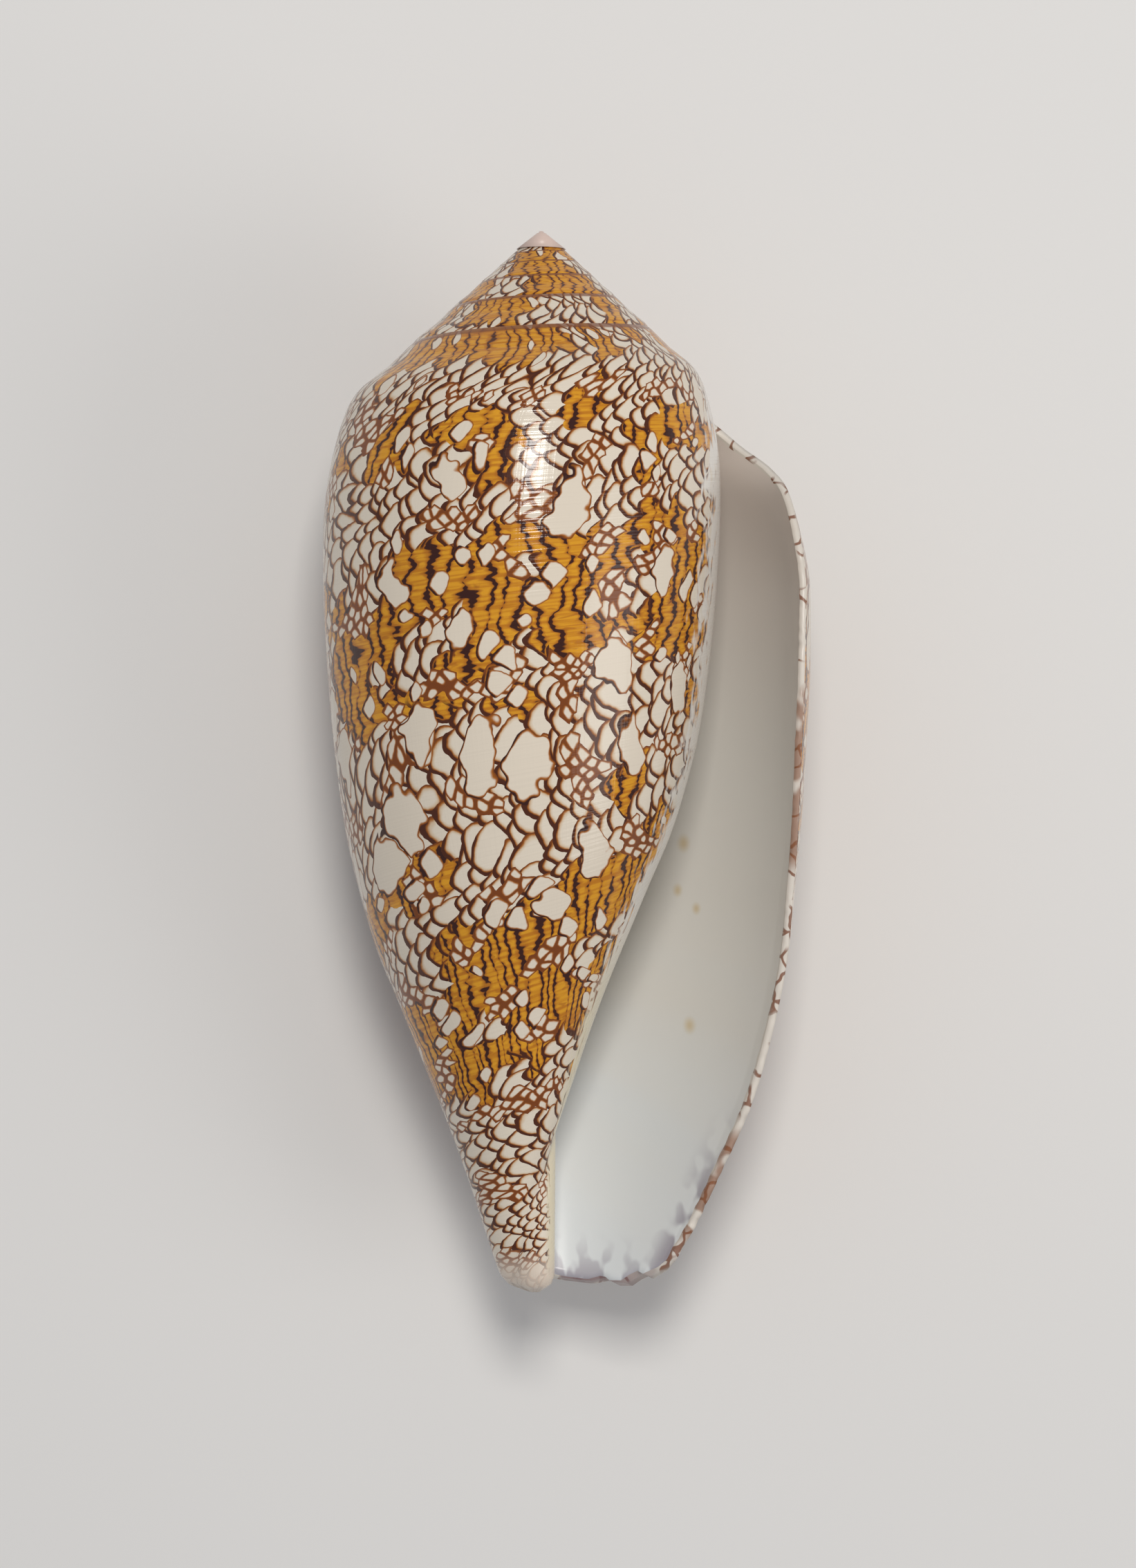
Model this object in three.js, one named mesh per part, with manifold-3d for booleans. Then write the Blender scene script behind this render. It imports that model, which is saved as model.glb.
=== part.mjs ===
// A textile cone shell, lying on its back with the aperture up.
// Millimetres, +Z up; the spire points to +Y and the outer lip is on the +X side.
import * as THREE from 'three';
import { mergeVertices } from 'three/addons/utils/BufferGeometryUtils.js';
import Module from 'manifold-3d';

// driving dimensions
const LENGTH = 90;            // apex to the front margin, along the axis
const WHORL_GROWTH = 1.45;    // each whorl is this many times the one before
const WALL = 1.6;             // thickness of the shell wall
const LIP_WALL = 1.0;         // thickness at the outer lip
const COLUMELLA_RADIUS = 1.75;
const GLAZE = 0.3;            // layer laid over the previous whorl inside the aperture
const CAVITY_TURNS = 0.8;     // how far the hollow runs back from the lip
const SPIRE_WHORLS = 4.25;    // whorls above the last one
const LAY_BACK = 1.5;          // tilt of the axis when the shell lies at rest, degrees
const LAY_ROLL = 0;           // roll about the axis at rest, degrees
const FLAT_DEPTH = 0.25;      // depth of the small flat spot it rests on

// outline of the whorl on the left side: distance below the apex and radius
const OUTLINE = [
  [9.55, 10.58], [11.7, 12.75], [12.8, 14.05], [13.85, 15.34], [14.9, 16.1], [16.4, 16.75],
  [18.7, 17.4], [21.1, 17.9], [24, 18.25], [28, 18.33], [32.8, 18.2], [40, 17.7], [46.8, 16.95],
  [51.5, 16.2], [56.2, 15.05], [60.9, 13.6], [65.6, 11.6], [70.3, 9.6], [75, 7.6], [79.6, 5.8],
  [84.3, 4.1], [88, 2.6], [90, 1.75],
];
const SUTURE = 9.55;                        // where a whorl starts on the one before
const NEXT_SUTURE = SUTURE * WHORL_GROWTH;  // where the following whorl covers it
const RAMP_ROWS = [0, 0.3, 0.55, 0.8, 1];   // rows between the two sutures
const BODY_START = 24;                      // below this the rows reach down to the margin

// lip line: distance below the apex and the angle the lip reaches toward the viewer
const SUTURE_ANGLE = -12;
const LIP_LINE = [[9.55, -12], [11.5, -24], [13.5, -8], [16, 6], [20, 14], [28, 17], [42, 17],
  [56, 12], [66, 9], [90, 7]];
// widening of the last part of the whorl toward the lip
const FLARE = [[9, 0], [21, 0], [30, 0.035], [44, 0.04], [56, 0.055], [68, 0.09], [77, 0.118],
  [84, 0.135], [90, 0.1]];
const FLARE_ANGLE = 70;

// reads a value between the points of a table
function between(points, x) {
  if (x <= points[0][0]) return points[0][1];
  for (let i = 1; i < points.length; i++) {
    const [x0, y0] = points[i - 1];
    const [x1, y1] = points[i];
    if (x <= x1) return y0 + (y1 - y0) * (x - x0) / (x1 - x0);
  }
  return points[points.length - 1][1];
}

// smooth reading of the outline, a cubic through its points
function outline(s) {
  const n = OUTLINE.length;
  const [first, last] = [OUTLINE[0], OUTLINE[n - 1]];
  if (s <= first[0]) return s * first[1] / first[0];
  if (s >= last[0]) return COLUMELLA_RADIUS;
  let i = 1;
  while (s > OUTLINE[i][0]) i++;
  const slope = (k) => {
    const a = OUTLINE[Math.max(k - 1, 0)];
    const b = OUTLINE[Math.min(k + 1, n - 1)];
    return (b[1] - a[1]) / (b[0] - a[0]);
  };
  const [x0, y0] = OUTLINE[i - 1];
  const [x1, y1] = OUTLINE[i];
  const h = x1 - x0;
  const u = (s - x0) / h;
  return y0 * (1 + 2 * u) * (1 - u) ** 2 + y1 * u * u * (3 - 2 * u)
    + h * (slope(i - 1) * u * (1 - u) ** 2 - slope(i) * u * u * (1 - u));
}

const sizeAt = (angle) => WHORL_GROWTH ** ((angle + 180) / 360);

// radius of the outer surface at an angle and a distance below the apex
function radius(angle, d) {
  const size = sizeAt(angle);
  const flare = between(FLARE, d) * Math.max(0, Math.min(1, 1 + angle / FLARE_ANGLE)) ** 2;
  return Math.max(COLUMELLA_RADIUS, size * outline(d / size) * (1 + flare));
}

// angle of the growth line that is `turns` behind the lip, at the outline distance s
function growthAngle(turns, s) {
  const straighten = turns < 0 ? 1 : Math.max(0, 1 - turns) ** 2;
  return SUTURE_ANGLE - 360 * turns + (between(LIP_LINE, s) - SUTURE_ANGLE) * straighten;
}

const place = (angle, d, r) => {
  const a = THREE.MathUtils.degToRad(angle);
  return [r * Math.cos(a), -d, r * Math.sin(a)];
};

function solidFrom(points, faces) {
  let geometry = new THREE.BufferGeometry();
  geometry.setAttribute('position', new THREE.Float32BufferAttribute(points.flat(), 3));
  geometry.setIndex(faces.flat());
  return geometry;
}

// the whole outer form: the spire bands, the last whorl, the lip face and the front margin
function outerForm() {
  const perTurn = 52;
  const columns = Math.round(SPIRE_WHORLS * perTurn);
  const bodyRows = [14.7, 15.6, 17, 19, 21.3, BODY_START];
  const lowerRows = [0.07, 0.15, 0.24, 0.33, 0.42, 0.5, 0.58, 0.66, 0.74, 0.82, 0.89, 0.95, 0.988, 1];
  const points = [];
  const grid = [];
  const add = (p) => points.push(p) - 1;
  const band = (turns, k) => {
    const s = SUTURE + (NEXT_SUTURE - SUTURE) * RAMP_ROWS[k];
    const angle = turns < 1 ? growthAngle(turns, s) : SUTURE_ANGLE - 360 * turns;
    const size = sizeAt(angle);
    return place(angle, size * s, size * outline(s));
  };
  const lastBand = RAMP_ROWS.length - 1;
  for (let j = 0; j <= columns; j++) {
    const turns = j / perTurn;
    const column = [];
    for (let k = 0; k <= lastBand; k++) {
      const shared = k === lastBand && j >= perTurn;
      column.push(shared ? grid[j - perTurn][0] : add(band(turns, k)));
    }
    if (j <= perTurn) {
      for (const s of bodyRows) {
        const angle = growthAngle(turns, s);
        const d = sizeAt(angle) * s;
        column.push(add(place(angle, d, radius(angle, d))));
      }
      for (const q of lowerRows) {
        const angle = growthAngle(turns, BODY_START + (LENGTH - BODY_START) * q);
        const top = sizeAt(angle) * BODY_START;
        const d = top + (LENGTH - top) * q;
        const rounding = q === 1 ? 0.45 : 0;
        column.push(add(place(angle, d, radius(angle, d) - rounding)));
      }
    }
    grid.push(column);
  }
  const faces = [];
  for (let j = 0; j < columns; j++) {
    const [a, b] = [grid[j], grid[j + 1]];
    for (let i = 0; i < Math.min(a.length, b.length) - 1; i++) {
      faces.push([a[i], b[i + 1], b[i]], [a[i], a[i + 1], b[i + 1]]);
    }
  }
  // apex
  const tip = add([0, -0.15, 0]);
  for (let j = columns - perTurn; j < columns; j++) faces.push([grid[j][0], grid[j + 1][0], tip]);
  const lastColumn = grid[columns];
  for (let k = 0; k < lastBand; k++) faces.push([lastColumn[k], lastColumn[k + 1], tip]);
  // face under the lip, between its edge and the whorl before
  const [edge, inner] = [grid[0], grid[perTurn]];
  const under = [edge[0], ...inner.slice(lastBand + 1)];
  for (let i = 0; i < edge.length - 1; i++) {
    const j = Math.max(0, i - lastBand);
    const k = Math.max(0, i + 1 - lastBand);
    if (k > j) faces.push([under[j], under[k], edge[i]]);
    faces.push([under[k], edge[i + 1], edge[i]]);
  }
  // front margin
  const bottom = (j) => grid[j][grid[j].length - 1];
  const middle = add(place(SUTURE_ANGLE + 150, LENGTH, 0.5));
  for (let j = 0; j < perTurn; j++) faces.push([bottom(j), middle, bottom(j + 1)]);
  faces.push([bottom(perTurn), middle, bottom(0)]);
  return solidFrom(points, faces);
}

// the hollow, as a long curved plug that is cut out of the outer form
function hollow() {
  const steps = 44;
  const before = 0.05;
  const rows = [0, 0.02, 0.045, 0.075, 0.115, 0.17, 0.24, 0.32, 0.4, 0.48, 0.56, 0.64, 0.72, 0.8,
    0.87, 0.93, 0.97, 1];
  const points = [];
  const sections = [];
  for (let j = 0; j <= steps; j++) {
    const turns = -before + (CAVITY_TURNS + before) * j / steps;
    const wallHere = LIP_WALL + (WALL - LIP_WALL) * Math.min(1, Math.max(0, turns) / 0.12);
    const lift = turns < 0 ? 0.02 - 20 * turns : 0.02 + GLAZE * Math.min(1, turns / 0.06);
    const outer = (angle, d) => {
      const slope = (radius(angle, d + 0.2) - radius(angle, d - 0.2)) / 0.4;
      return radius(angle, d) - wallHere * Math.hypot(1, Math.max(-1.2, Math.min(1.2, slope)));
    };
    const inner = (angle, d) => radius(angle - 360, d) + lift;
    const gap = (d) => outer(growthAngle(turns, d), d) - inner(growthAngle(turns, d), d);
    const size = sizeAt(growthAngle(turns, SUTURE));
    let top = size * (SUTURE + 0.6);
    while (gap(top) < 0.06) top += 0.02;
    let bottom = top + 20;
    while (bottom < LENGTH + 2 && gap(bottom) > 0.06) bottom += 0.1;
    const section = [];
    const [outerSide, innerSide] = [[], []];
    rows.forEach((q) => {
      const d = top + (bottom - top) * q;
      const angle = growthAngle(turns, d);
      const r0 = inner(angle, d);
      const r1 = Math.max(r0 + 0.05, outer(angle, d));
      outerSide.push(points.push(place(angle, d, r1)) - 1);
      innerSide.push(points.push(place(angle, d, r0)) - 1);
    });
    section.push(...outerSide, ...innerSide.reverse());
    sections.push(section);
  }
  const faces = [];
  const n = rows.length * 2;
  for (let j = 0; j < steps; j++) {
    const [a, b] = [sections[j], sections[j + 1]];
    for (let i = 0; i < n; i++) {
      const k = (i + 1) % n;
      faces.push([a[i], b[k], b[i]], [a[i], a[k], b[k]]);
    }
  }
  for (let i = 0; i < rows.length - 1; i++) {
    const [first, last] = [sections[0], sections[steps]];
    const m = n - 1 - i;
    faces.push([first[i], first[m], first[i + 1]], [first[i + 1], first[m], first[m - 1]]);
    faces.push([last[i], last[i + 1], last[m]], [last[i + 1], last[m - 1], last[m]]);
  }
  return solidFrom(points, faces);
}

const wasm = await Module();
wasm.setup();

function toSolid(geometry) {
  const g = geometry.clone();
  g.deleteAttribute('normal');
  g.deleteAttribute('uv');
  const merged = mergeVertices(g, 1e-5);
  return new wasm.Manifold(new wasm.Mesh({
    numProp: 3,
    vertProperties: new Float32Array(merged.attributes.position.array),
    triVerts: new Uint32Array(merged.index.array),
  }));
}

function toGeometry(solid) {
  const mesh = solid.getMesh();
  const geometry = new THREE.BufferGeometry();
  geometry.setAttribute('position', new THREE.Float32BufferAttribute(mesh.vertProperties, 3));
  geometry.setIndex(Array.from(mesh.triVerts));
  return geometry;
}

const grown = toSolid(outerForm()).subtract(toSolid(hollow()));

// lay it down, put its lowest point a little below the floor and cut the flat spot
const lying = toGeometry(grown);
lying.rotateY(THREE.MathUtils.degToRad(LAY_ROLL));
lying.rotateX(THREE.MathUtils.degToRad(LAY_BACK));
lying.computeBoundingBox();
const box = lying.boundingBox;
lying.translate(0, 0, -box.min.z - FLAT_DEPTH);
const below = new THREE.BoxGeometry(200, 300, 20).translate(0, -45, -10);
const body = toGeometry(toSolid(lying).subtract(toSolid(below)));
body.computeBoundingBox();
const middle = body.boundingBox.getCenter(new THREE.Vector3());
body.translate(-middle.x, -middle.y, 0);

const shell = new THREE.Mesh(
  body.toNonIndexed(),
  new THREE.MeshStandardMaterial({ color: 0xc99a5b, roughness: 0.35 }),
);
shell.name = 'shell';
shell.geometry.computeVertexNormals();

const model = new THREE.Group();
model.name = 'textile_cone_shell';
model.add(shell);
export default model;
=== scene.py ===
# %% [markdown]
# # A textile cone shell
# The shell is one natural piece: a wall that the animal laid down turn after turn. We load the
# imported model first, because it fixes where the shell lies and how big it is.

# %% The frame
import math

import bpy
from mathutils import Matrix, Vector


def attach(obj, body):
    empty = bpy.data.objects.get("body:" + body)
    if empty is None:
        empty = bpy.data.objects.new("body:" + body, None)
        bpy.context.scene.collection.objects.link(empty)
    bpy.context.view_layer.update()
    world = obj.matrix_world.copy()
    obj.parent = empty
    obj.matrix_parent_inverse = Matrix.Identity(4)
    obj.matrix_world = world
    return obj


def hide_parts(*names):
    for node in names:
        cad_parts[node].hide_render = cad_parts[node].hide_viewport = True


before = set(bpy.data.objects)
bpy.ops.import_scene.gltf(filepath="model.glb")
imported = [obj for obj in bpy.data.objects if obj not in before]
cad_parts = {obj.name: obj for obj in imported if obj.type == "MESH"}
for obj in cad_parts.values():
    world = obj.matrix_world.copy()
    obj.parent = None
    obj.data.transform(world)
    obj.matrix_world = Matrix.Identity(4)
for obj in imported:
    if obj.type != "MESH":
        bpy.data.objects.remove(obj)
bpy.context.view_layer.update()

MM = 0.001

# %% [markdown]
# ## The law of growth
# A cone shell grows by one rule: each turn is the same shape as the last, a fixed number of times
# larger. A log spiral does this exactly, so the whole outside needs just one outline, the side of
# the last whorl, and one growth number. A spun or lathed body would give a cone with no whorls.
# Distances are in millimetres, and s is the distance below the apex in a whorl of size one.

# %% Growth numbers and the outline of the whorl
LENGTH = 90.0
WHORL_GROWTH = 1.45
SUTURE = 9.55
SHOULDER = 24.0
OUTLINE = [
    (9.55, 10.58), (11.7, 12.75), (12.8, 14.05), (13.85, 15.34), (14.9, 16.1), (16.4, 16.75),
    (18.7, 17.4), (21.1, 17.9), (24, 18.25), (28, 18.33), (32.8, 18.2), (40, 17.7),
    (46.8, 16.95), (51.5, 16.2), (56.2, 15.05), (60.9, 13.6), (65.6, 11.6), (70.3, 9.6),
    (75, 7.6), (79.6, 5.8), (84.3, 4.1), (88, 2.6), (90, 1.75),
]


def clamp(x):
    return max(0.0, min(1.0, x))


def between(points, x):
    """Straight reading between the points of a table."""
    if x <= points[0][0]:
        return points[0][1]
    for (x0, y0), (x1, y1) in zip(points, points[1:]):
        if x <= x1:
            return y0 + (y1 - y0) * (x - x0) / (x1 - x0)
    return points[-1][1]


def smooth_between(points, x):
    """Smooth reading, a cubic through the points of a table."""
    last = len(points) - 1
    if x <= points[0][0]:
        return points[0][1]
    if x >= points[last][0]:
        return points[last][1]
    i = 1
    while x > points[i][0]:
        i += 1

    def slope(k):
        a, b = points[max(k - 1, 0)], points[min(k + 1, last)]
        return (b[1] - a[1]) / (b[0] - a[0])

    (x0, y0), (x1, y1) = points[i - 1], points[i]
    h = x1 - x0
    u = (x - x0) / h
    return (y0 * (1 + 2 * u) * (1 - u) ** 2 + y1 * u * u * (3 - 2 * u)
            + h * (slope(i - 1) * u * (1 - u) ** 2 - slope(i) * u * u * (1 - u)))


def outline(s):
    if s <= SUTURE:
        return s * OUTLINE[0][1] / SUTURE
    return smooth_between(OUTLINE, s)


def whorl_size(angle):
    return WHORL_GROWTH ** ((angle + 180) / 360)


print("size of the whorl at the lip:", round(whorl_size(0), 3))

# %% [markdown]
# ## The lip and the growth lines
# Every growth line was once the lip. The lip isn't straight: it leans back at the shoulder and
# forward along its middle, and it ends in a slightly notched front margin. We give the lean by a
# table of angles, and let older lines straighten, because inside the whorl nothing shows it.

# %% The lip's lean, its small scallops and the front margin
SUTURE_ANGLE = -12.0
LIP_LINE = [(9.55, -20), (11.5, -33), (13.3, -31), (15.2, -24), (16.8, -10), (18.2, 2),
            (21, 12), (28, 17), (42, 17), (56, 12), (66, 9), (78, 7), (90, 4)]
# how often, how far shifted and how strong each wave of the scallops is
SCALLOPS = [(5.1, 0, 1), (3.17, 1, 0.7), (7.9, 2, 0.5)]
SCALLOPED_TURNS = 0.012
# how far down the front margin reaches, by turns behind the lip
MARGIN = [(0, 87.2), (0.012, 88.2), (0.03, 89.0), (0.045, 88.8), (0.06, 89.8), (0.085, 89.9),
          (0.1, 89.5), (0.13, 89.9), (0.18, 89.7), (0.25, 89.2), (0.33, 89.0), (0.42, 89.6),
          (0.5, 90), (2, 90)]


def growth_angle(turns, s):
    """Angle round the shell of a point on a growth line, in degrees."""
    straighten = max(0.0, 1 - turns) ** 2
    lean = smooth_between(LIP_LINE, s) - SUTURE_ANGLE
    rough = 0.22 + 0.6 * max(0.0, (s - 70) / 20)
    scallop = rough * sum(size * math.sin(s * often + shift) for often, shift, size in SCALLOPS)
    lean += scallop * max(0.0, 1 - turns / SCALLOPED_TURNS) * clamp((s - 15) / 3)
    return SUTURE_ANGLE - 360 * turns + lean * straighten


print("the lip at the shoulder:", round(growth_angle(0, SHOULDER), 1), "degrees")

# %% [markdown]
# ## The radius of the wall
# The last quarter turn flares toward the lip, each whorl dips a little under the one before at the
# suture, and low down the wall winds round a slim pillar, the columella. The wall and the pillar
# meet in a soft blend, so that no crease is left where one takes over from the other.

# %% Flare, grooves and the pillar
FLARE = [(9, 0), (21, 0), (30, 0.035), (44, 0.04), (56, 0.055), (68, 0.09), (77, 0.118),
         (84, 0.135), (90, 0.1)]
FLARE_ANGLE = 70.0
# where each groove lies on the ramp, its width and its depth
GROOVES = [(SUTURE, 0.4, 0.22), (12.1, 0.25, 0.06)]
COLUMELLA = 1.75
FRONT_ROUNDING = 1.6
BLEND = 0.35


def tip_rounding(d):
    """The front end is rounded off over its last bit."""
    tip = max(0.0, (d - (LENGTH - FRONT_ROUNDING)) / FRONT_ROUNDING)
    return math.sqrt(max(0.02, 1 - 0.95 * tip ** 2))


def columella(turns, d):
    """Radius of the twisted pillar in the middle; it slims with each turn."""
    return COLUMELLA * (1 - 0.16 * max(0.0, turns - 0.5)) * tip_rounding(d)


def outer_radius(turns, angle, d):
    size = whorl_size(angle)
    s = d / size
    reach = clamp(1 + angle / FLARE_ANGLE) ** 2
    groove = sum(deep * math.exp(-((s - at) / wide) ** 2) for at, wide, deep in GROOVES)
    grown = size * (outline(s) - groove) * (1 + between(FLARE, d) * reach)
    grown *= 1 + (tip_rounding(d) - 1) * clamp((turns - 0.25) / 0.2)
    pillar = columella(turns, d)
    share = clamp(0.5 + (grown - pillar) / (2 * BLEND))
    return pillar * (1 - share) + grown * share + BLEND * share * (1 - share)


print("radius at the shoulder:", round(outer_radius(0, 0, SHOULDER), 2), "mm")

# %% [markdown]
# ## Rolling up a sheet
# The wall is a long thin sheet. We add a flat grid, whose rows run from the suture down to the
# front end and whose columns are growth lines, and roll it up with the growth law. Columns stand
# closer at the lip, where the scallops are, and rows closer on the ramp and the shoulder.

# %% Where each point of the sheet goes
TURNS = 7.0
PER_TURN = 92
LIP_COLUMNS = 14
LIP_PART = 0.03
COLUMNS = LIP_COLUMNS + round((TURNS - LIP_PART) * PER_TURN)
BAND_ROWS, SHOULDER_ROWS, BODY_ROWS = 24, 26, 100
ROWS = BAND_ROWS + SHOULDER_ROWS + BODY_ROWS
BAND_END = SUTURE * WHORL_GROWTH
TUCK = 0.25  # how far the sheet goes under the whorl before it


def turns_at(column):
    if column <= LIP_COLUMNS:
        return LIP_PART * (column / LIP_COLUMNS) ** 1.3
    return LIP_PART + (column - LIP_COLUMNS) / PER_TURN


def sheet_place(column, row):
    """Turns behind the lip, angle and distance below the apex of a point of the grid."""
    turns = turns_at(column)
    if row <= BAND_ROWS:
        s = SUTURE - TUCK + (BAND_END - SUTURE + TUCK) * row / BAND_ROWS
    elif row <= BAND_ROWS + SHOULDER_ROWS:
        s = BAND_END + (SHOULDER - BAND_END) * (row - BAND_ROWS) / SHOULDER_ROWS
    else:
        q = (row - BAND_ROWS - SHOULDER_ROWS) / BODY_ROWS
        angle = growth_angle(turns, SHOULDER + (LENGTH - SHOULDER) * q)
        top = whorl_size(angle) * SHOULDER
        return turns, angle, top + (between(MARGIN, turns) - top) * q
    angle = growth_angle(turns, s)
    return turns, angle, whorl_size(angle) * s


print(COLUMNS, "growth lines,", ROWS, "rows")

# %% [markdown]
# ## Three maps for the colours
# The pattern was laid down at the lip as the shell grew, so it follows the growth and not the
# space round the shell. Three UV maps carry it. "growth" has the plain turns and the length down
# the outline, for wear, glaze and the lip. "growth_lines" leans as the old lips did, for lines and
# threads. "pattern" is stretched so that a tent keeps its size and shape where the shell narrows.
# A map holds turns and tenths of a metre: times 100, hundredths of a turn and millimetres.

# %% Lengths along the outline, for the maps
HALF = 0.5  # tables have an entry each half millimetre
ENTRIES = 260


def along_outline(s):
    """Length of the outline from the suture down to s."""
    total, at = 0.0, SUTURE
    while at < s:
        nxt = min(at + HALF, s)
        total += math.hypot(nxt - at, outline(nxt) - outline(at))
        at = nxt
    return total


def every_half(table, s):
    """Reading of a table that has an entry each half millimetre."""
    k = max(0, min(len(table) - 2, int(s / HALF)))
    return table[k] + (table[k + 1] - table[k]) * (s / HALF - k)


lengths = [along_outline(k * HALF) for k in range(ENTRIES)]
print("outline:", round(lengths[int(LENGTH / HALF)], 1), "mm long")

# %% How the pattern follows the girth
FULL_GIRTH = 17
# girth of the whorl for the pattern, by length along the outline
GIRTH = [(0, 17), (22, 17.2), (34, 16.9), (42, 16), (50, 14.4), (58, 12), (66, 9.2), (74, 6.6),
         (82, 4.6), (90, 3.6)]
# tents are taller between the golden bands
TALL = [(37.5, 1), (40, 0.74), (49, 0.74), (51.5, 1)]


def girth_share(down):
    return min(1.0, smooth_between(GIRTH, down) / FULL_GIRTH)


depths = [0.0]
for k in range(1, ENTRIES):
    step = HALF * between(TALL, k * HALF) * girth_share(k * HALF) ** -0.5
    depths.append(depths[-1] + step)
print("the pattern is", round(depths[int(LENGTH / HALF)], 1), "mm deep")

# %% Where a point of the sheet lies in each map
# lean of the growth lines in the pattern, in degrees: that of the lip, though less bent
LINE_LEAN = [(9.55, -16), (11.5, -20), (13.3, -19), (16, -13), (20, -9), (28, -7), (42, -7),
             (56, -9), (66, -11), (90, -14)]
MAP_START = 0.55
STEADY_TURN = 0.68


def map_places(turns, size, d):
    """Places in the maps growth, pattern and growth_lines."""
    s = d / size
    growth = (turns, every_half(lengths, s) / 100)
    # at the front end all turns come together, so there the pattern follows the length alone
    level = s + (d - s) * 0.85 * clamp((d - 50) / 30)
    down = every_half(lengths, level)
    lean = smooth_between(LINE_LEAN, min(90, s)) - SUTURE_ANGLE
    turns += lean * (1 - max(0.0, 1 - turns) ** 2) / 360
    # on the spire the tents shrink more slowly than the whorls
    wound, shrink = turns - MAP_START, 1.0
    if turns > 1:
        slow = math.log(WHORL_GROWTH)
        shrink = math.exp(-slow * (turns - 1))
        wound = 1 - MAP_START + (1 - shrink) / slow
    slim = (turns - STEADY_TURN) * (girth_share(down) ** 1.3 - 1)
    across = 2 * math.pi * FULL_GIRTH * (wound + slim)
    pattern = (across / 100, every_half(depths, down) * shrink / 100)
    return growth, pattern, (wound + MAP_START, down / 100)


print("maps at the lip's shoulder:", map_places(0, whorl_size(0), SHOULDER * whorl_size(0)))

# %% [markdown]
# ## The grid becomes the shell
# Each point of the flat grid is sent to its place on the shell, and turned to lie on its back as
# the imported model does, with a small flat spot where it touches the floor. A vertex group holds
# how thick the wall is, for a Solidify modifier later: thin and bevelled at the lip, thinner in
# old whorls. Moving points in code is the way here, because no bend tool makes a log spiral.

# %% Add the grid and roll it up
LIE = (Matrix.Translation(Vector((-2.268, 45.077, 20.699)))
       @ Matrix.Rotation(math.radians(1.5), 4, "X"))
LIP_EDGE = 0.36
LIP_BEVEL = 0.11
COVERED_TURNS = 1.95
COVERED_ROWS = BAND_ROWS + 3


def wall_share(turns, radius):
    """Thickness of the wall, as a share of the full one."""
    bevel = min(1.0, turns / LIP_BEVEL)
    share = LIP_EDGE + (1 - LIP_EDGE) * (1 - (1 - bevel) ** 2.6)
    share *= min(1.0, 1.15 * WHORL_GROWTH ** -max(0.0, turns - 0.2))
    return share * min(1.0, max(0.55, radius / 3.2))


bpy.ops.object.select_all(action="DESELECT")
bpy.ops.mesh.primitive_grid_add(x_subdivisions=COLUMNS, y_subdivisions=ROWS, size=2,
                                calc_uvs=True)
shell = bpy.context.object
shell.name = "shell_wall"
growth_map = shell.data.uv_layers[0]
growth_map.name = "growth"
pattern_map = shell.data.uv_layers.new(name="pattern")
lines_map = shell.data.uv_layers.new(name="growth_lines")
thickness = shell.vertex_groups.new(name="thickness")
covered = []
places = {}
for v in shell.data.vertices:
    column = round((v.co.x + 1) / 2 * COLUMNS)
    row = round((1 - v.co.y) / 2 * ROWS)
    turns, angle, d = sheet_place(column, row)
    radius = outer_radius(turns, angle, d)
    a = math.radians(angle)
    place = LIE @ Vector((radius * math.cos(a), -d, radius * math.sin(a)))
    place.z = max(place.z, 0.0)  # the small flat spot that it rests on
    v.co = place * MM
    places[v.index] = map_places(turns, whorl_size(angle), d)
    thickness.add([v.index], wall_share(turns, radius), "REPLACE")
    if turns > COVERED_TURNS and row > COVERED_ROWS:
        covered.append(v.index)
for loop in shell.data.loops:
    growth, pattern, lines = places[loop.vertex_index]
    growth_map.uv[loop.index].vector = growth
    pattern_map.uv[loop.index].vector = pattern
    lines_map.uv[loop.index].vector = lines
print("rolled up:", len(shell.data.vertices), "points")

# %% Drop what later whorls cover
bpy.ops.object.mode_set(mode="EDIT")
bpy.ops.mesh.select_mode(type="VERT")
bpy.ops.mesh.select_all(action="DESELECT")
bpy.ops.object.mode_set(mode="OBJECT")
for i in covered:
    shell.data.vertices[i].select = True
bpy.ops.object.mode_set(mode="EDIT")
bpy.ops.mesh.delete(type="VERT")
bpy.ops.object.mode_set(mode="OBJECT")
# the sheet is open, so a face on its back tells whether it points outwards
back = min(shell.data.polygons, key=lambda p: p.center.z)
if back.normal.z > 0:
    bpy.ops.object.mode_set(mode="EDIT")
    bpy.ops.mesh.select_all(action="SELECT")
    bpy.ops.mesh.flip_normals()
    bpy.ops.object.mode_set(mode="OBJECT")
print("kept", len(shell.data.polygons), "faces; the back points", round(back.normal.z, 2))

# %% [markdown]
# ## Sums with nodes
# A pattern this rich is a long sum, and a material is a tree of nodes. We write the sum as plain
# code: each helper adds one node and gives back its output, and Num lets two outputs be added or
# multiplied with the usual signs. Linking a few hundred nodes by hand would be slow to read.

# %% Helpers for numbers
class Num:
    """A number in a node tree that can be added, multiplied and so on."""

    tree = None

    def __init__(self, socket):
        self.socket = socket

    def __add__(self, other):
        return calc("ADD", self, other)

    def __sub__(self, other):
        return calc("SUBTRACT", self, other)

    def __rsub__(self, other):
        return calc("SUBTRACT", other, self)

    def __mul__(self, other):
        return calc("MULTIPLY", self, other)

    __rmul__ = __mul__


def new_node(kind, **settings):
    node = Num.tree.nodes.new("ShaderNode" + kind)
    for key, value in settings.items():
        setattr(node, key, value)
    return node


def put(socket, value):
    if isinstance(value, Num):
        value = value.socket
    if isinstance(value, bpy.types.NodeSocket):
        Num.tree.links.new(value, socket)
    else:
        socket.default_value = value


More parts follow.
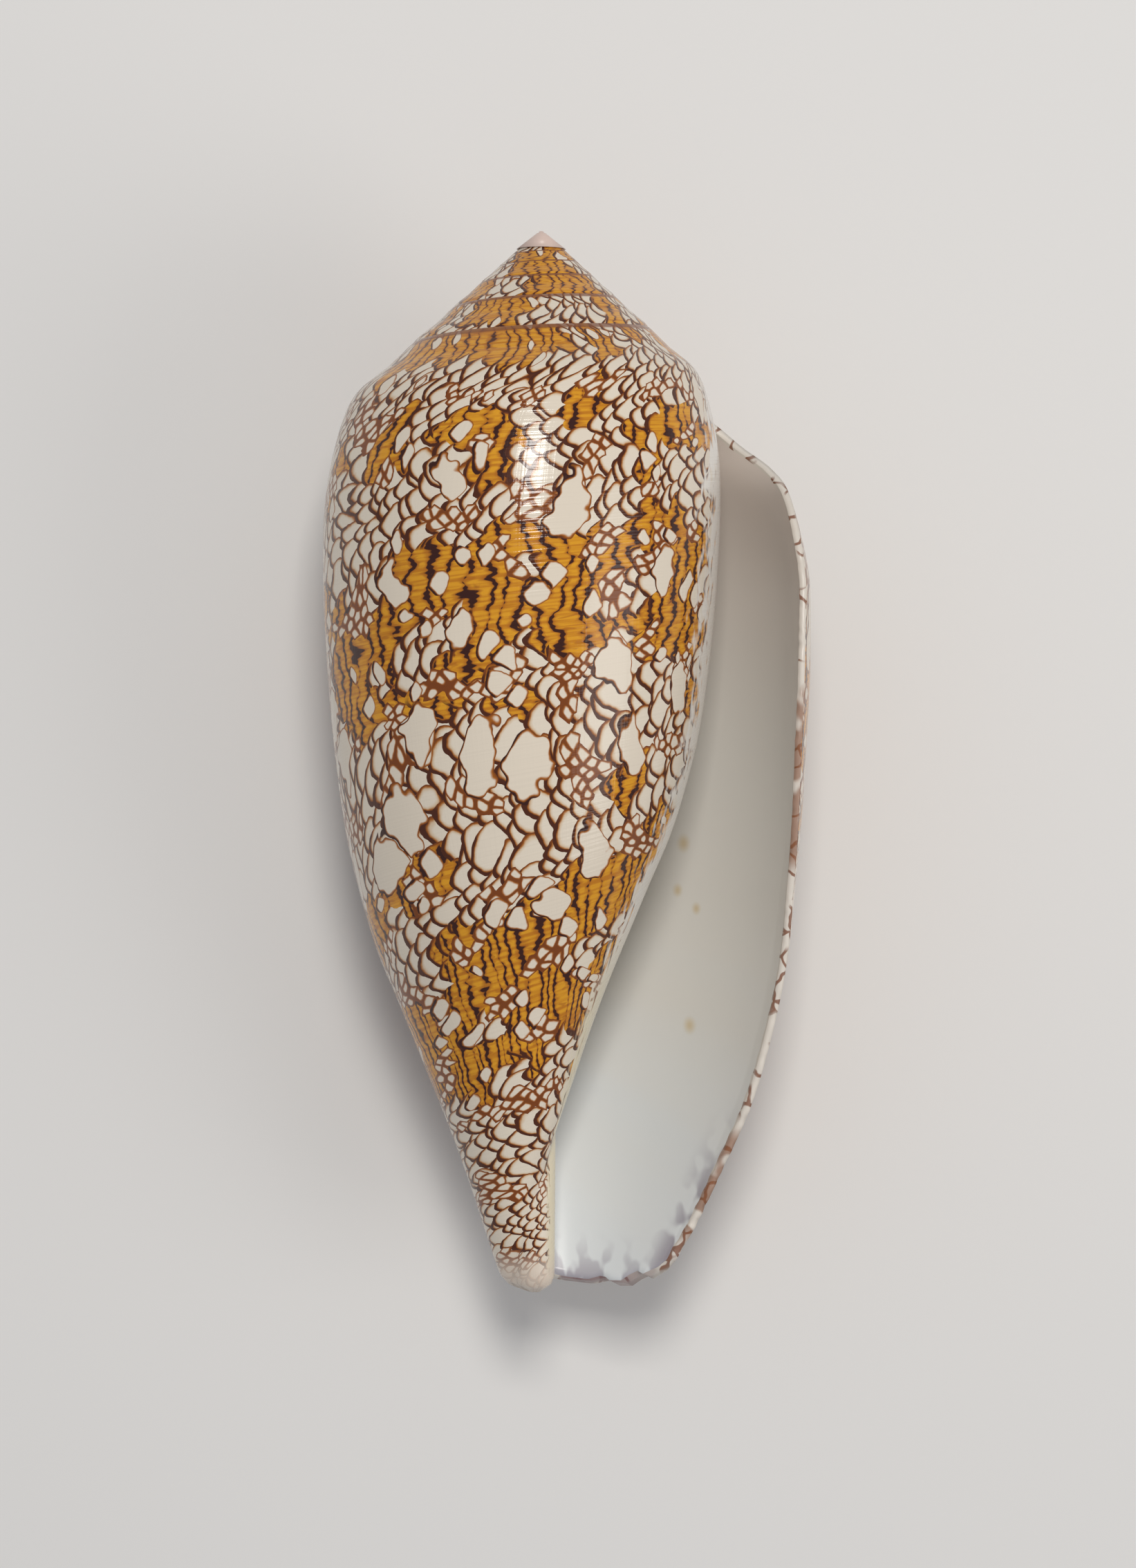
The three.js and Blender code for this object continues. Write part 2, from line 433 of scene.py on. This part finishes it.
def put_all(sockets, values):
    for socket, value in zip(sockets, values):
        put(socket, value)


def calc(operation, *values):
    node = new_node("Math", operation=operation)
    put_all(node.inputs, values)
    return Num(node.outputs[0])


def ramp(x, low, high):
    """0 at low, 1 at high, smooth between."""
    node = new_node("MapRange", interpolation_type="SMOOTHSTEP")
    put(node.inputs["Value"], x)
    put(node.inputs["From Min"], low)
    put(node.inputs["From Max"], high)
    return Num(node.outputs["Result"])


print("helpers for numbers ready")

# %% Helpers for places, colours and mixes
def vector(operation, a, b=(0, 0, 0), scale=1.0):
    node = new_node("VectorMath", operation=operation)
    put(node.inputs[0], a)
    if operation == "SCALE":
        put(node.inputs["Scale"], scale)
    else:
        put(node.inputs[1], b)
    return node.outputs[0]


def point(x, y):
    node = new_node("CombineXYZ")
    put_all(node.inputs, (x, y))
    return node.outputs[0]


def split(v):
    node = new_node("SeparateXYZ")
    put(node.inputs[0], v)
    return [Num(output) for output in node.outputs]


def mix(share, a, b):
    """From number a to number b."""
    node = new_node("Mix", data_type="FLOAT")
    put_all((node.inputs[0], node.inputs[2], node.inputs[3]), (share, a, b))
    return Num(node.outputs[0])


def mix_place(share, a, b):
    node = new_node("Mix", data_type="VECTOR")
    put_all((node.inputs[0], node.inputs[4], node.inputs[5]), (share, a, b))
    return node.outputs[1]


def tint(share, a, b):
    """From colour a to colour b."""
    node = new_node("Mix", data_type="RGBA")
    put_all((node.inputs[0], node.inputs[6], node.inputs[7]), (share, a, b))
    return node.outputs[2]


print("helpers for places and colours ready")

# %% Helpers for chance, and for reading the maps
def noise(where, scale, detail=0.0):
    """Three soft random numbers, each 0 to 1."""
    node = new_node("TexNoise", noise_dimensions="2D")
    put(node.inputs["Vector"], where)
    node.inputs["Scale"].default_value = scale
    node.inputs["Detail"].default_value = detail
    return node.outputs["Color"]


def grain(x, y, detail=0.0):
    """The same three numbers, at a place given by its two parts."""
    return split(noise(point(x, y), 1.0, detail))


def pushed(where, scale, detail, far):
    """A push in a random direction, about half of far at most."""
    centred = vector("SUBTRACT", noise(where, scale, detail), (0.5, 0.5, 0.5))
    return vector("SCALE", centred, scale=far)


def seeds(where, size, feature="F1", loose=1.0):
    node = new_node("TexVoronoi", voronoi_dimensions="2D", feature=feature)
    put(node.inputs["Vector"], where)
    node.inputs["Scale"].default_value = 1 / size
    node.inputs["Randomness"].default_value = loose
    return node


def map_in_mm(name):
    return vector("SCALE", new_node("UVMap", uv_map=name).outputs[0], scale=100.0)


def object_in_mm():
    return vector("SCALE", new_node("TexCoord").outputs["Object"], scale=1000.0)


def new_material(name, roughness):
    material = bpy.data.materials.new(name)
    material.use_nodes = True
    Num.tree = material.node_tree
    shader = material.node_tree.nodes["Principled BSDF"]
    shader.inputs["Roughness"].default_value = roughness
    shader.inputs["Specular IOR Level"].default_value = 0.4
    return material, shader


print("helpers for chance ready")

# %% [markdown]
# ## The colour pattern
# The outside is a net of white tents that overlap like scales, each with a brown edge that is
# darkest toward the younger side. Crowds of tiny tents and a few large ones lie over the net, and
# two bands of gold with dark lines along the growth run round the body. The pattern is drawn in
# that order, from the ground up, because each kind of tent hides what is under it.

# %% Colours of the shell
WHITE = (0.76, 0.675, 0.555, 1)
CREAM = (0.64, 0.47, 0.30, 1)
GOLD = (0.72, 0.33, 0.018, 1)
DEEP_GOLD = (0.52, 0.19, 0.010, 1)
AMBER = (0.40, 0.125, 0.010, 1)
RUST = (0.20, 0.052, 0.008, 1)
BROWN = (0.075, 0.018, 0.006, 1)
DARK = (0.042, 0.010, 0.006, 1)


def golden(seed):
    """1 in the golden bands, in patches and in sectors of the ramp, 0 elsewhere."""
    wander, gap, patch = split(noise(seed, 0.13, 1.0))
    along, depth, _ = split(seed)
    down = depth + (wander - 0.5) * 12.0
    middle = ramp(down, 20.0, 22.5) * (1.0 - ramp(down, 34.5, 37.5))
    lower = ramp(down, 48.2, 51.2) * (1.0 - ramp(down, 69.0, 72.5))
    patches = ramp(patch, 0.60, 0.64) * ramp(down, 72.5, 65.0)
    gold = calc("MAXIMUM", (middle + lower) * ramp(gap, 0.60, 0.55), patches)
    sector = split(noise(point(along, 3.0), 0.16))[2]
    return calc("MAXIMUM", gold, ramp(sector, 0.42, 0.5) * ramp(depth, 6.5, 5.0))


outside, shader = new_material("patterned_outside", 0.15)
place = map_in_mm("pattern")
lines_turn, lines_down, _ = split(map_in_mm("growth_lines"))
# three sizes of push make every row of tents uneven
push = vector("ADD", pushed(place, 0.14, 0.0, 2.4), pushed(place, 0.5, 0.0, 0.6))
push = vector("ADD", push, pushed(place, 1.5, 1.0, 0.16))
uneven = vector("ADD", place, push)
print("colours and bands ready")

# %% [markdown]
# ## The golden ground
# In the bands the tents give way to gold, with fine spiral streaks and dark lines that follow the
# old lips. A line is drawn where a running count passes a half, and noise in that count makes the
# lines wander, part and meet. A wave texture would give lines that are all alike.

# %% Gold with dark lines along the growth
LINES_EACH = 0.68  # dark lines in a hundredth of a turn


def golden_ground(turns, down):
    streaks = grain(turns * 0.12, down * 3.2, 1.0)[0]
    gold = tint(ramp(streaks, 0.35, 0.75), GOLD, DEEP_GOLD)
    drift = grain(turns * 0.25, down * 0.22)[0]
    shake, breaks, _ = grain(turns * 0.5, down * 1.1)
    saw, dashes, _ = grain(turns * 0.7, down * 2.6)
    dots = ramp(dashes, 0.60, 0.72) * ramp(breaks, 0.45, 0.6) * 0.6
    gold = tint(dots, gold, AMBER)
    count = turns * LINES_EACH + drift * 1.4 + shake * 0.7 + saw * 0.18
    off = calc("ABSOLUTE", calc("FRACT", count) - 0.5)
    # the lines swell and thin, are beaded where the spiral threads cross, and fine on the ramp
    bold = ramp(grain(turns * 0.5, down * 0.35)[1], 0.26, 0.46) * 0.14
    bold = bold + calc("SINE", down * 14.5) * 0.035
    body = ramp(down, 5.0, 10.0)
    bold = bold * mix(body, 0.62, 1.0)
    gold = tint(ramp(off, bold + 0.24, bold - 0.02) * 0.9, gold, AMBER)
    return tint(ramp(off, bold + 0.04, bold - 0.03), gold, tint(body, BROWN, DARK))


gold = golden_ground(lines_turn, lines_down)
print(len(Num.tree.nodes), "nodes with the golden ground")

# %% [markdown]
# ## The net of scales
# The tents stand in columns along the growth, each column half a step lower than the next, and
# the older side of a tent lies under the next column. We go through the columns and rows near a
# point, from old to young, and keep the last tent that covers it. A plain cell texture has edges
# on all sides alike, and would look like dried mud.

# %% Tents that overlap like scales
SCALE_SIZE = 2.05
COLUMN = 0.56
COLUMNS_NEAR = (-1, 0, 1, 2)
ROWS_NEAR = (0, 1)


def scales(where, size):
    """Depth inside the edge of the tent on top, how dark that edge is, and the tent's seed."""
    x, y, _ = split(vector("SCALE", where, scale=1 / size))
    column = calc("FLOOR", x * (1 / COLUMN))
    top, seat = point(-1.0, 0.0), where
    for across in COLUMNS_NEAR:
        i = column + across
        stagger = calc("FLOORED_MODULO", i, 2.0) * 0.5
        row = calc("FLOOR", y - stagger)
        for below in ROWS_NEAR:
            j = row + below
            chance = new_node("TexWhiteNoise", noise_dimensions="2D")
            put(chance.inputs["Vector"], point(i, j))
            a, b, c = split(chance.outputs["Color"])
            dx = x - (i + a * 0.7) * COLUMN
            dy = y - (j + stagger + b * 0.42 - 0.21)
            round_part = calc("SQRT", dx * dx * 0.8 + dy * dy)
            pointed = calc("SQRT", dy * dy + 0.012) * 0.82 + calc("ABSOLUTE", dx) * 0.62
            inside = mix(c, 0.52, 0.80) - calc("SMOOTH_MAX", round_part, pointed, 0.2)
            covers = calc("GREATER_THAN", inside, 0.0)
            top = mix_place(covers, top, point(inside, dy - dx * 0.8))
            seed = vector("SUBTRACT", where, point(dx * size, dy * size))
            seat = mix_place(covers, seat, seed)
    inside, dark, _ = split(top)
    return inside * size, ramp(dark, -0.45, 0.35), seat


def net_of_scales(where, gold):
    """White or golden tents with a brown edge, and the bare gold in the middle of the bands."""
    inside, dark, seed = scales(where, SCALE_SIZE)
    is_gold = calc("GREATER_THAN", golden(seed), 0.5)
    filling = tint(is_gold, WHITE, gold)
    halo = tint(is_gold, CREAM, filling)
    line = mix(dark, 0.11, 0.28)
    filling = tint(ramp(inside, line + 0.05, line + 0.34), halo, filling)
    net = tint(ramp(dark, 0.1, 0.8), RUST, BROWN)
    net = tint(ramp(inside, line - 0.06, line + 0.04), net, AMBER)
    net = tint(ramp(inside, line, line + 0.15), net, filling)
    return tint(is_gold * ramp(golden(where), 0.6, 0.9), net, gold)


colour = net_of_scales(uneven, gold)
print(len(Num.tree.nodes), "nodes with the net")

# %% [markdown]
# ## Tents that lie over the net
# Tiny tents crowd together in patches, large ones stand alone on the white, and some of middle
# size break up the gold. Each is drawn round a scattered seed, as a shape between a circle and a
# square on its corner, and a share says how many of the seeds carry a tent at that place.

# %% Single tents
HALF_RIGHT = 0.7071  # sine and cosine of 45 degrees
LOOSE = 0.62


def tents(where, size, shift, smallest, largest, share, tall):
    """Rounded tents round scattered seeds: depth inside the edge, and how far it faces younger.
    The scatter is turned by 45 degrees, so that tents stack along slanting lines."""
    where = vector("ADD", where, shift)
    x, y, _ = split(where)
    turned = point((x + y * tall) * HALF_RIGHT, (y * tall - x) * HALF_RIGHT)
    cell = seeds(turned, size, loose=LOOSE)
    rim = Num(seeds(turned, size, "DISTANCE_TO_EDGE", loose=LOOSE).outputs["Distance"]) * size
    p, q, _ = split(vector("SUBTRACT", cell.outputs["Position"], turned))
    along = (p - q) * HALF_RIGHT
    down = (p + q) * HALF_RIGHT
    seed = vector("SUBTRACT", vector("ADD", where, point(along, down * (1 / tall))), shift)
    chance, lean, luck = split(cell.outputs["Color"])
    reach = mix(chance, smallest * size, largest * size)
    # rounder toward the younger side, sharper behind
    lead = along + 0.1 * size
    down = down + along * ((lean - 0.5) * 0.5)
    round_part = calc("SQRT", lead * lead + down * down)
    pointed = (calc("ABSOLUTE", lead) + calc("ABSOLUTE", down) * 0.8) * 0.84
    inside = reach - calc("SMOOTH_MAX", round_part, pointed, 0.15 * size)
    inside = calc("SMOOTH_MIN", inside, rim, 0.22 * size)
    kept = calc("LESS_THAN", luck, share(seed))
    return mix(kept, -1.0, inside), ramp(along, -0.12 * size, 0.12 * size)


def edged(inside, dark, thin, thick):
    """White with a brown edge, from the depth inside it."""
    line = mix(dark, thin, thick)
    edge = tint(ramp(dark, 0.2, 0.8), RUST, DARK)
    edge = tint(ramp(inside, line - 0.07, line + 0.03), edge, AMBER)
    return tint(ramp(inside, line, line + 0.12), edge, WHITE)


print("single tents ready")

# %% Which seeds carry a tent
def few_on_white(seed):
    depth = split(seed)[1]
    body = calc("GREATER_THAN", depth, 9.0) * calc("LESS_THAN", depth, 64.0)
    return mix(golden(seed), 0.25, 0.03) * body


def some_on_gold(seed):
    return golden(seed) * 0.30


def in_crowds(seed):
    return ramp(split(noise(seed, 0.26))[1], 0.64, 0.66) * ramp(split(seed)[1], 7.0, 9.5)


# spacing, shift of the scatter, smallest and largest reach, share, and how flat a tent is
TINY_TENTS = (1.05, (17.3, 5.1, 0), 0.5, 0.8, in_crowds, 1.0)
LARGE_TENTS = (3.5, (12.9, 47.7, 0), 0.36, 0.62, few_on_white, 0.62)
BAND_TENTS = (2.2, (7.3, 1.1, 0), 0.30, 0.58, some_on_gold, 0.85)
EDGE_SOFT = 0.04

# crowds of tiny tents, with rust between them
inside, _ = tents(uneven, *TINY_TENTS)
crowd = tint(ramp(inside, 0.10, 0.24), AMBER, WHITE)
crowd = tint(ramp(inside, 0.16, 0.04), crowd, RUST)
colour = tint(ramp(inside, -0.6, -0.5), colour, crowd)
# large tents, with a knobbly edge
knobbly = vector("ADD", uneven, pushed(place, 0.85, 0.0, 1.0))
inside, younger = tents(knobbly, *LARGE_TENTS)
large = ramp(inside, 0.0, EDGE_SOFT)
colour = tint(large, colour, edged(inside, younger, 0.10, 0.20))
# single tents in the golden bands, where no large one lies
inside, younger = tents(uneven, *BAND_TENTS)
single = ramp(inside, 0.0, EDGE_SOFT) * (1.0 - large)
colour = tint(single, colour, edged(inside, younger, 0.07, 0.24))
print(len(Num.tree.nodes), "nodes with all the tents")

# %% [markdown]
# ## Painted suture shade, glaze and wear
# A rust line painted just below the suture is painted shade in its crease. Beside the mouth the
# mantle has laid a cream glaze over the pattern, with a ragged edge. Both ends are rubbed to a
# pinkish white: the tip by its age, which the turns give, and the front end by its place, which
# Object coordinates give.

# %% Over the pattern
GLAZE = (0.80, 0.755, 0.69, 1)
GLAZE_FRONT = (0.78, 0.70, 0.52, 1)
WORN_SPIRE = (0.72, 0.55, 0.48, 1)
WORN_FRONT = (0.71, 0.60, 0.50, 1)

# painted shade: rust over the first millimetre below the suture stands for the shade in its crease
colour = tint(ramp(lines_down, 1.35, 1.0) * 0.85, colour, RUST)
wound = split(map_in_mm("growth"))[0]
# the glaze starts nearer to the lip toward the front, and lies under the overlap at the top
start = mix(ramp(lines_down, 6.5, 18.0), 94.0, 90.0)
start = mix(ramp(lines_down, 45.0, 74.0), start, 82.5)
ragged = (grain(lines_turn * 1.1, lines_down * 0.4, 2.0)[0] - 0.5) * 11.0
ledge = ramp(lines_down, 6.2, 7.2) * ramp(wound, 135.0, 125.0)
under = calc("MAXIMUM", ramp(lines_down, 8.5, 9.5), ledge)
glaze = ramp(wound + ragged - start, -2.0, 1.5) * under
colour = tint(glaze, colour, tint(ramp(lines_down, 58.0, 68.0), GLAZE, GLAZE_FRONT))
colour = tint(ramp(wound, 585.0, 635.0), colour, WORN_SPIRE)
along = split(object_in_mm())[1]
colour = tint(ramp(along, -41.0, -43.8) * 0.85, colour, WORN_FRONT)
put(shader.inputs["Base Color"], colour)
print(len(Num.tree.nodes), "nodes in the colour")

# %% [markdown]
# ## Threads in the gloss
# The glossy surface has hair-fine threads round the whorl, crossed by finer growth lines. They
# are far thinner than the faces of the mesh, so they are relief in the material.

# %% Fine relief
threads = grain(lines_turn * 0.05, lines_down * 4.5, 1.0)[0]
fine_growth = grain(lines_turn * 4.0, lines_down * 0.06, 1.0)[1]
relief = new_node("Bump")
relief.inputs["Strength"].default_value = 0.35
relief.inputs["Distance"].default_value = 0.06 * MM
put(relief.inputs["Height"], threads + fine_growth * 0.5)
put(shader.inputs["Normal"], relief.outputs["Normal"])
print(len(outside.node_tree.nodes), "nodes in the pattern")

# %% [markdown]
# ## The edge of the lip
# At the lip we look at the cut edge of the wall: white, with thin brown lines where the pattern
# comes through, brown where a golden band ends and mauve toward the front. It needs its own
# colour, because the maps of the outside are squeezed to nothing on so narrow a face.

# %% Colour of the edge
LIP_WHITE = (0.74, 0.68, 0.60, 1)
LIP_BROWN = (0.26, 0.095, 0.035, 1)
LIP_MAUVE = (0.27, 0.17, 0.18, 1)
LIP_NET = 2.3


def rim_colour():
    """White with thin brown lines, brown at the bands, mauve toward the front."""
    down = split(map_in_mm("growth"))[1]
    place = object_in_mm()
    bent = vector("ADD", place, vector("SCALE", noise(place, 0.7, 1.0), scale=1.2))
    net = Num(seeds(bent, LIP_NET, "DISTANCE_TO_EDGE").outputs["Distance"]) * LIP_NET
    broken, _, spots = split(noise(place, 0.35, 1.0))
    lines = ramp(net, 0.20, 0.10) * ramp(broken, 0.40, 0.50) * 0.85
    rim = tint(lines, LIP_WHITE, RUST)
    upper_band = ramp(down, 24.0, 26.0) * ramp(down, 38.0, 36.5)
    lower_band = ramp(down, 56.0, 57.5) * ramp(down, 66.0, 64.0)
    brown = (upper_band + lower_band) * ramp(broken, 0.35, 0.45) * 0.75
    rim = tint(brown, rim, LIP_BROWN)
    return tint(ramp(down, 64.0, 74.0) * ramp(spots, 0.40, 0.52) * 0.85, rim, LIP_MAUVE)


edge, shader = new_material("lip_edge", 0.3)
put(shader.inputs["Base Color"], rim_colour())
print(len(Num.tree.nodes), "nodes in the edge of the lip")

# %% [markdown]
# ## The glazed inside
# The mouth is smooth white glaze, warm and darker at the top, partly its own tint and partly
# painted shade from the shoulder, and bluish toward the front, with a few small yellow stains and
# mauve smudges along the notched margin. The edge's own colour runs over the lip in a narrow
# scalloped fringe, so that the change from edge to inside isn't a ruled line.

# %% Colour of the inside
# warm tint of the glaze at the top of the mouth, made darker as painted shade under the shoulder
MOUTH_TOP_TINT_AND_SHADE = (0.76, 0.67, 0.60, 1)
MOUTH_WHITE = (0.84, 0.81, 0.75, 1)
MOUTH_FRONT = (0.80, 0.83, 0.84, 1)
STAIN = (0.66, 0.46, 0.15, 1)
SMUDGE = (0.26, 0.21, 0.27, 1)
# place and size of each stain, in millimetres
STAINS = [(10.4, -6.7, 0.75), (9.9, -10.8, 0.55), (11.5, -12.4, 0.5), (10.9, -22.5, 0.7)]


def glaze_colour(turns, down, cloud):
    # partly painted shade: the top of the mouth is darker, as if shaded by the shoulder, as well
    # as warmer
    colour = tint(ramp(down, 5.0, 34.0), MOUTH_TOP_TINT_AND_SHADE, MOUTH_WHITE)
    colour = tint(ramp(down + (cloud - 0.5) * 20.0, 40.0, 74.0), colour, MOUTH_FRONT)
    x, y, _ = split(object_in_mm())
    for stain_x, stain_y, size in STAINS:
        dx, dy = x - stain_x, y - stain_y
        off = calc("SQRT", dx * dx + dy * dy * 0.5)
        colour = tint(ramp(off, size, 0.0) * 0.55, colour, STAIN)
    # smudges along the margin, in streaks
    at_front = ramp(down - turns * 0.3, 65.5, 70.5)
    at_lip = ramp(turns, 5.0, 0.5) * ramp(down, 54.0, 64.0)
    smudge = calc("MAXIMUM", at_front, at_lip) * ramp(turns, 40.0, 26.0)
    streaks = grain(turns * 0.3, down * 0.5, 1.0)[0]
    return tint(smudge * ramp(streaks, 0.40, 0.58) * 0.75, colour, SMUDGE)


inside, shader = new_material("glazed_inside", 0.26)
turns, down, _ = split(map_in_mm("growth"))
soft, cloud, _ = split(noise(point(turns * 0.1, down), 0.12, 2.0))
scallop = calc("SINE", down * 4.2) * 0.07 + soft * 0.5
fringe = ramp(turns - scallop, 0.22, 0.16)
put(shader.inputs["Base Color"], tint(fringe, glaze_colour(turns, down, cloud), rim_colour()))
print(len(Num.tree.nodes), "nodes in the inside")

# %% [markdown]
# ## Thickness
# Solidify copies the sheet inwards and closes its edges, and the vertex group makes the wall thin
# out toward the lip. Its material offsets give the copy the glazed inside and the rim the lip's
# own colour, so one modifier makes all three surfaces. It is applied, and the mesh stays in place.

# %% Give the wall its thickness
for material in (outside, inside, edge):
    shell.data.materials.append(material)
wall = shell.modifiers.new("wall", "SOLIDIFY")
wall.thickness = 1.6 * MM
wall.offset = -1
wall.vertex_group = "thickness"
wall.thickness_vertex_group = 0.0
wall.material_offset = 1
wall.material_offset_rim = 2
bpy.ops.object.modifier_apply(modifier="wall")
for p in shell.data.polygons:
    p.use_smooth = True
print("wall done:", len(shell.data.polygons), "faces")

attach(shell, "root")
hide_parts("shell")

# %% [markdown]
# ## The oldest tip
# The very first whorls of a shell are worn to a small smooth cone with a round top. We cut the
# cap off a ball where a cone of the spire's slope touches it, and draw the cut edge down to a cone
# that ends inside the rolled sheet. A ball alone would stand out of the spire like a bead.

# %% Add the tip
TIP_ROUND = 0.45
TIP_SLOPE = 1.08
TIP_BASE = 1.65
TIP_SUNK = 0.03
TIP_COLOUR = (0.72, 0.56, 0.49)
cone_angle = math.atan(TIP_SLOPE)
centre = TIP_ROUND / math.sin(cone_angle)
touch = TIP_ROUND * math.sin(cone_angle)
drop = TIP_BASE - (centre - touch)
widen = TIP_SLOPE * TIP_BASE / (TIP_ROUND * math.cos(cone_angle))


def plain(name, color, rough):
    """A material of one colour."""
    material, shader = new_material(name, rough)
    shader.inputs["Base Color"].default_value = (*color, 1)
    return material


bpy.ops.object.select_all(action="DESELECT")
bpy.ops.mesh.primitive_uv_sphere_add(segments=40, ring_count=24, radius=TIP_ROUND * MM,
                                     location=(0, 0, 0))
tip = bpy.context.object
tip.name = "shell_tip"
bpy.ops.object.mode_set(mode="EDIT")
bpy.ops.mesh.select_all(action="SELECT")
bpy.ops.mesh.bisect(plane_co=(0, 0, touch * MM), plane_no=(0, 0, 1), clear_inner=True)
bpy.ops.mesh.extrude_region_move(TRANSFORM_OT_translate={"value": (0, 0, -drop * MM)})
bpy.ops.transform.resize(value=(widen, widen, 1), center_override=(0, 0, 0))
bpy.ops.mesh.edge_face_add()
bpy.ops.mesh.select_all(action="SELECT")
bpy.ops.mesh.normals_make_consistent(inside=False)
bpy.ops.object.mode_set(mode="OBJECT")
seat = (LIE @ Matrix.Translation((0, -centre - TIP_SUNK, 0))
        @ Matrix.Rotation(math.radians(-90), 4, "X"))
seat.translation *= MM
tip.matrix_world = seat
bpy.ops.object.transform_apply(location=True, rotation=True, scale=True)
bpy.ops.object.shade_smooth()
tip.data.materials.append(plain("worn_tip", TIP_COLOUR, 0.35))
print("tip:", len(tip.data.polygons), "faces,", [round(x / MM, 2) for x in tip.dimensions])

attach(tip, "root")

# %% [markdown]
# ## Floor and light
# The shell lies on a plain pale floor. A soft box above gives the one bright highlight on the
# shoulder, a weaker one from the right opens the mouth, and a grey-white surround fills the
# shadows, because a glossy curved thing shows every lamp as a spot of light.

# %% Floor and soft boxes
bpy.context.scene.view_settings.view_transform = "Standard"
bpy.ops.mesh.primitive_plane_add(size=3, location=(0, 0, 0))
floor = bpy.context.object
floor.name = "floor"
floor.data.materials.append(plain("floor", (0.8, 0.79, 0.77), 0.7))


def soft_light(name, place, aim, size, watts):
    bpy.ops.object.light_add(type="AREA", location=place)
    lamp = bpy.context.object
    lamp.name = name
    lamp.data.shape = "RECTANGLE"
    lamp.data.size, lamp.data.size_y = size
    lamp.data.energy = watts
    lamp.data.color = (1, 0.965, 0.92)
    lamp.rotation_euler = (Vector(aim) - Vector(place)).to_track_quat("-Z", "Y").to_euler()


soft_light("soft box, above", (0.02, 0.15, 0.5), (0, 0.01, 0.02), (0.11, 0.15), 1.27)
soft_light("soft box, right", (0.42, -0.12, 0.35), (0, 0, 0.02), (0.3, 0.3), 0.58)
world = bpy.data.worlds.new("studio")
bpy.context.scene.world = world
world.use_nodes = True
surround = world.node_tree.nodes["Background"]
surround.inputs["Color"].default_value = (0.9, 0.93, 1, 1)
surround.inputs["Strength"].default_value = 0.34
print("floor and light ready")

# %% [markdown]
# ## The camera
# The picture looks straight down at the mouth from about four shell lengths away. The camera
# hangs over the shell in the shell's own tilt, and its lens follows from the height and from how
# many pixels of the picture a millimetre takes.

# %% Hang the camera
PX_PER_MM = 17.08
PICTURE_HEIGHT = 2268 / PX_PER_MM
CAMERA_HEIGHT = 385.0
SENSOR = 36
camera = bpy.data.objects.new("camera", bpy.data.cameras.new("camera"))
bpy.context.scene.collection.objects.link(camera)
bpy.context.scene.camera = camera
camera.data.sensor_width = SENSOR
camera.data.lens = SENSOR * CAMERA_HEIGHT / PICTURE_HEIGHT
camera.data.clip_start = 0.01
seat = LIE @ Matrix.Translation(Vector((2.53, -47.0, CAMERA_HEIGHT)))
seat.translation *= MM
camera.matrix_world = seat @ Matrix.Rotation(math.radians(0.33), 4, "Z")
print("lens", round(camera.data.lens, 1))
